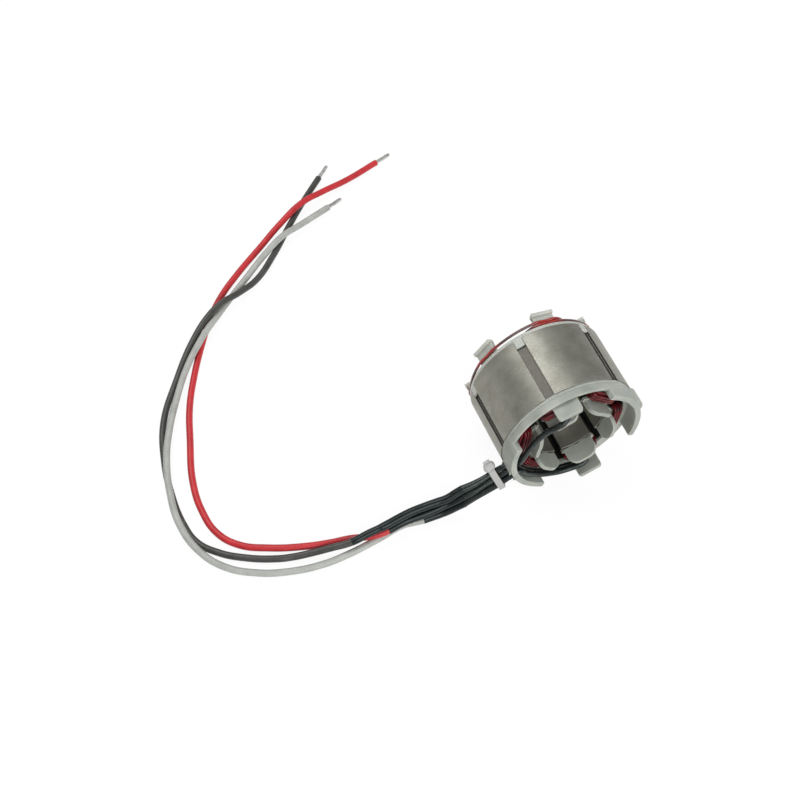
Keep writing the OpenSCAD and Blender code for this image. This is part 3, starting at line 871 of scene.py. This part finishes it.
# %% Draw the rear links
LINKS = 3
POST_OUT = 21.1
POST_HALF_W = 3.7
LINK_R = POST_OUT + WIRE_D / 2 + TOUCH
POST_HALF = math.degrees(math.asin(POST_HALF_W / LINK_R))
LINK_START = COIL_BOTTOM + (len(LAYER_WIRES) - 0.5) * WIRE_D + WIRE_D + TOUCH
LINK_FOOT = COIL_BASE + WIRE_D
LINK_OVER = 19.6
LINK_H = 2.4
LINK_TOP = LINK_H + 1
LINK_TURN = 7
for k in range(LINKS):
    start = FIRST_TOOTH + PITCH * (2 * k + 1)
    stop = start - 3 * PITCH
    line = [
        rear_point(start, LINK_START, LINK_FOOT),
        rear_point(start - LINK_TURN, LINK_OVER, LINK_TOP),
    ]
    for post in range(3):
        for side in (1, 0, -1):
            at = start - (post + 0.5) * PITCH + side * POST_HALF
            reach = LINK_R / math.cos(math.radians(side * POST_HALF))
            line.append(rear_point(at, reach, LINK_TOP - post / 2))
    line += [
        rear_point(stop + LINK_TURN, LINK_OVER, LINK_H),
        rear_point(stop, LINK_START, LINK_FOOT),
    ]
    link = wire_curve(f"link_wire_{k + 1}", [line], WIRE_D * MM, link_enamel)
    seat(link, "enamel_wire", f"rear_link_{k + 1}")
print("links", LINKS)

# %% [markdown]
# ## Sleeves
# Each lead's coil end is covered by a dark sleeve inside the front insulator. One crosses over the
# coils and two lie in the gutter behind the tall wall; all three leave through its window. Past
# the tie a sleeve widens until it meets its splice tube, so that the bundle closes up.

# %% Lay out the sleeves
SLEEVE_D = 1.9
GUTTER_R = 19.4
LOW_H = 2.75
HIGH_H = LOW_H + SLEEVE_D
OVER_COIL = 3.8
SPAN_H = 6.4
WINDOW_FLOOR = 0.8
WINDOW_PLAY = 0.15
EXIT_STEP = SLEEVE_D * 0.71
EXIT_MID = WINDOW_FLOOR + EXIT_STEP + SLEEVE_D / 2 + WINDOW_PLAY
LOW_TOOTH = FIRST_TOOTH + 4 * PITCH
LEFT_TOOTH = FIRST_TOOTH - PITCH
CROSSING_R = 15.55


def free(*point):
    """Route point in metres, from millimetres."""
    return Vector(point) * MM


sleeve_lines = {
    "black": [
        front_point(LEFT_TOOTH + 71, CROSSING_R + 1.1, OVER_COIL + 0.1),
        front_point(LEFT_TOOTH + 66, CROSSING_R + 0.6, SPAN_H - 1),
        front_point(LEFT_TOOTH + 59, CROSSING_R + 0.1, SPAN_H),
        front_point(LEFT_TOOTH + 48, CROSSING_R, SPAN_H - 0.1),
        front_point(LEFT_TOOTH + 39, CROSSING_R + 0.2, SPAN_H - 0.6),
        front_point(LEFT_TOOTH + 26, CROSSING_R + 0.2, SPAN_H - 1),
        front_point(LEFT_TOOTH + 13, CROSSING_R + 0.5, SPAN_H - 1.2),
        front_point(LEFT_TOOTH, CROSSING_R + 1.1, SPAN_H - 1.4),
        front_point(LEFT_TOOTH - 10, CROSSING_R + 2, SPAN_H - 1.5),
        front_point(LEFT_TOOTH - 18, GUTTER_R - 0.7, EXIT_MID + 1.3),
        front_point(LEFT_TOOTH - 26, GUTTER_R - 0.1, EXIT_MID - EXIT_STEP + 0.9),
        free(*WINDOW["black"]), free(-25.7, -12.95, -9.1), free(-29.3, -13.2, -10.4),
        free(-32.9, -13.4, -11.3), free(-36.5, -13.1, -12.43),
    ],
    "red": [
        front_point(LOW_TOOTH - 49, GUTTER_R - 1.2, LOW_H + 0.8),
        front_point(LOW_TOOTH - 44, GUTTER_R - 0.8, LOW_H + 0.5),
        front_point(LOW_TOOTH - 37, GUTTER_R - 0.4, LOW_H + 0.1),
        front_point(LOW_TOOTH - 25, GUTTER_R - 0.3, LOW_H),
        front_point(LOW_TOOTH - 8, GUTTER_R - 0.3, LOW_H),
        front_point(LOW_TOOTH + 8, GUTTER_R - 0.1, LOW_H),
        front_point(LOW_TOOTH + 21, GUTTER_R - 0.1, LOW_H + 0.2),
        front_point(LOW_TOOTH + 29, GUTTER_R + 0.8, EXIT_MID - 0.4),
        free(*WINDOW["red"]), free(-25.3, -14.45, -10.45), free(-29.2, -14.45, -12),
        free(-33.2, -14.4, -13.7), free(-36.5, -14.08, -15.24),
    ],
    "white": [
        front_point(LOW_TOOTH - 63, CROSSING_R + 1.1, OVER_COIL + 0.2),
        front_point(LOW_TOOTH - 57, CROSSING_R + 1.4, HIGH_H + 0.7),
        front_point(LOW_TOOTH - 49, CROSSING_R + 1.6, HIGH_H + 0.8),
        front_point(LOW_TOOTH - 40, CROSSING_R + 2.1, HIGH_H + 0.4),
        front_point(LOW_TOOTH - 30, GUTTER_R - 1.3, HIGH_H + 0.1),
        front_point(LOW_TOOTH - 18, GUTTER_R - 1.3, HIGH_H),
        front_point(LOW_TOOTH - 6, GUTTER_R - 1.1, HIGH_H),
        front_point(LOW_TOOTH + 8, GUTTER_R - 0.7, HIGH_H + 0.1),
        front_point(LOW_TOOTH + 19, GUTTER_R - 0.2, HIGH_H + 0.3),
        front_point(LOW_TOOTH + 27, GUTTER_R + 0.5, EXIT_MID + EXIT_STEP + 0.25),
        free(*WINDOW["white"]), free(-24.9, -15.95, -11.8), free(-29, -15.75, -13.8),
        free(-33.5, -15.3, -16.1), free(-36.5, -14.96, -18.06),
    ],
}
print("sleeve points", {name: len(line) for name, line in sleeve_lines.items()})

# %% Draw the sleeves
BUNDLE_WIDTHS = [1.03, 1.07, 1.12, 1.32, 1.45]
for name, line in sleeve_lines.items():
    widths = [1] * (len(line) - len(BUNDLE_WIDTHS)) + BUNDLE_WIDTHS
    sleeve = wire_curve(
        "sleeve_tube_" + name, [line], SLEEVE_D * MM, sleeving, steps=10, sides=4, widths=widths,
    )
    seat(sleeve, "sleeving", "sleeve_" + name)
    print("sleeve", name, round(length_of(line) * 1000, 1), "mm")

# %% [markdown]
# ## Cable tie
# A small nylon tie holds the three sleeves side by side. Its band is an oblong loop, and its head
# is a block with softened corners and the cut tail standing out of it. All of it is one mesh, with
# a bevel on the edges of the band, because a tie has no sharp edge anywhere.

# %% Shape the tie's band
TIE_HALF = SLEEVE_D + 0.1
TIE_HOLD = SLEEVE_D / 2 + 0.15
TIE_T = 0.9
TIE_W = 2.2


def loop_outline(radius, steps=10):
    """Oblong outline round the three sleeves, sizes in millimetres."""
    line = []
    for end, first in ((1, -90), (-1, 90)):
        for i in range(steps + 1):
            turn = math.radians(first + 180 * i / steps)
            line.append((end * TIE_HALF + radius * math.cos(turn), radius * math.sin(turn)))
    return line


tie_mesh = bmesh.new()
rings = []
for radius, side in [(TIE_HOLD, -1), (TIE_HOLD + TIE_T, -1), (TIE_HOLD + TIE_T, 1), (TIE_HOLD, 1)]:
    rings.append([tie_mesh.verts.new((x, y, side * TIE_W / 2)) for x, y in loop_outline(radius)])
count = len(rings[0])
for a, b in zip(rings, rings[1:] + rings[:1]):
    for i in range(count):
        tie_mesh.faces.new((a[i], a[(i + 1) % count], b[(i + 1) % count], b[i]))
print("band faces", len(tie_mesh.faces))

# %% Add the tie's head and put it on
HEAD_L, HEAD_HALF, HEAD_SOFT = 2.6, 1.9, 1.1
TAIL_L, TAIL_HALF_T, TAIL_HALF_W, TAIL_SOFT = 3.5, 0.45, 1.1, 0.2
TIE_AT = free(-25.3, -14.45, -10.45)
TIE_SLANT = math.radians(-90 - 24)
TIE_LEAN = math.radians(46.6)


def add_block(low, high, soft):
    """Box between two corners with rounded edges, added to the tie's mesh."""
    size = Vector(high) - Vector(low)
    middle = (Vector(high) + Vector(low)) / 2
    move = Matrix.Translation(middle) @ Matrix.Diagonal((*size, 1))
    corners = bmesh.ops.create_cube(tie_mesh, size=1, matrix=move)["verts"]
    sides = {edge for corner in corners for edge in corner.link_edges}
    bmesh.ops.bevel(tie_mesh, geom=list(sides), offset=soft, segments=5, profile=0.5, affect="EDGES")


head_x = TIE_HALF + TIE_HOLD
add_block((head_x, -HEAD_HALF, -HEAD_HALF), (head_x + HEAD_L, HEAD_HALF, HEAD_HALF), HEAD_SOFT)
add_block((head_x, -TAIL_HALF_T, -TAIL_HALF_W), (head_x + TAIL_L, TAIL_HALF_T, TAIL_HALF_W), TAIL_SOFT)
bmesh.ops.recalc_face_normals(tie_mesh, faces=tie_mesh.faces)
tie_data = bpy.data.meshes.new("tie_band_and_head")
tie_mesh.to_mesh(tie_data)
tie_mesh.free()
tie_turn = Matrix.Rotation(TIE_SLANT, 4, "Y") @ Matrix.Rotation(TIE_LEAN, 4, "Z")
tie_data.transform(Matrix.Translation(TIE_AT) @ tie_turn @ Matrix.Scale(MM, 4))
tie_data.materials.append(tie_nylon)
tie = add_object("tie_band_and_head", tie_data)
soften = tie.modifiers.new("soft_edges", "BEVEL")
soften.width = 0.25 * MM
soften.segments = 3
soften.limit_method = "ANGLE"
seat(tie, "tie", "cable_tie")
print("tie faces", len(tie_data.polygons))

# %% [markdown]
# ## Table and light
# The photograph has a pure white ground and soft light. One large lamp stands above and behind,
# a little to the left, and a second one in front opens up the insulator and the bore. The table
# shows white to the camera and to shiny surfaces, mixed with a little of its true shading so that
# the stator still stands on something.

# %% Lay the table
TABLE_HALF = 20.0
TABLE_DROP = 0.0001
WHITE_SHARE = 0.85
table_mesh = bpy.data.meshes.new("white_table")
table_mesh.from_pydata(
    [(x * TABLE_HALF, y * TABLE_HALF, TABLE_Z - TABLE_DROP) for x, y in [(-1, -1), (1, -1), (1, 1), (-1, 1)]],
    [], [(0, 1, 2, 3)],
)
table = add_object("white_table", table_mesh)
paper, tree, shader = new_finish("white_paper")
set_inputs(shader, Base_Color=(0.8, 0.8, 0.8, 1), Roughness=0.9)
white = set_inputs(tree.nodes.new("ShaderNodeEmission"), Strength=1.07)
rays = tree.nodes.new("ShaderNodeLightPath")
seen = math_node(tree, "MAXIMUM")
seen_more = math_node(tree, "MAXIMUM")
share = math_node(tree, "MULTIPLY", WHITE_SHARE)
blend = tree.nodes.new("ShaderNodeMixShader")
join(tree, [
    (rays.outputs["Is Camera Ray"], seen.inputs[0]),
    (rays.outputs["Is Glossy Ray"], seen.inputs[1]),
    (seen.outputs["Value"], seen_more.inputs[0]),
    (rays.outputs["Is Transmission Ray"], seen_more.inputs[1]),
    (seen_more.outputs["Value"], share.inputs[0]),
    (share.outputs["Value"], blend.inputs["Fac"]),
    (shader.outputs["BSDF"], blend.inputs[1]),
    (white.outputs["Emission"], blend.inputs[2]),
    (blend.outputs["Shader"], tree.nodes["Material Output"].inputs["Surface"]),
])
table_mesh.materials.append(paper)
print("table at", TABLE_Z)

# %% Light the scene
world = bpy.data.worlds.new("studio")
bpy.context.scene.world = world
world.use_nodes = True
set_inputs(world.node_tree.nodes["Background"], Color=(1, 1, 1, 1), Strength=0.42)


def softbox(name, place, size, power):
    """Square area lamp aimed at the middle of the stack."""
    lamp = bpy.data.lights.new(name, "AREA")
    lamp.shape = "SQUARE"
    lamp.size = size
    lamp.energy = power
    add_object(name, lamp).matrix_world = aimed(place, -Vector(place))


softbox("key_softbox", place=(-0.17, 0.46, 0.84), size=0.6, power=3.8)
softbox("front_softbox", place=(0.05, -0.75, 0.5), size=0.7, power=5.2)
bpy.context.scene.view_settings.view_transform = "Standard"
print("lamps", len(bpy.data.lights))
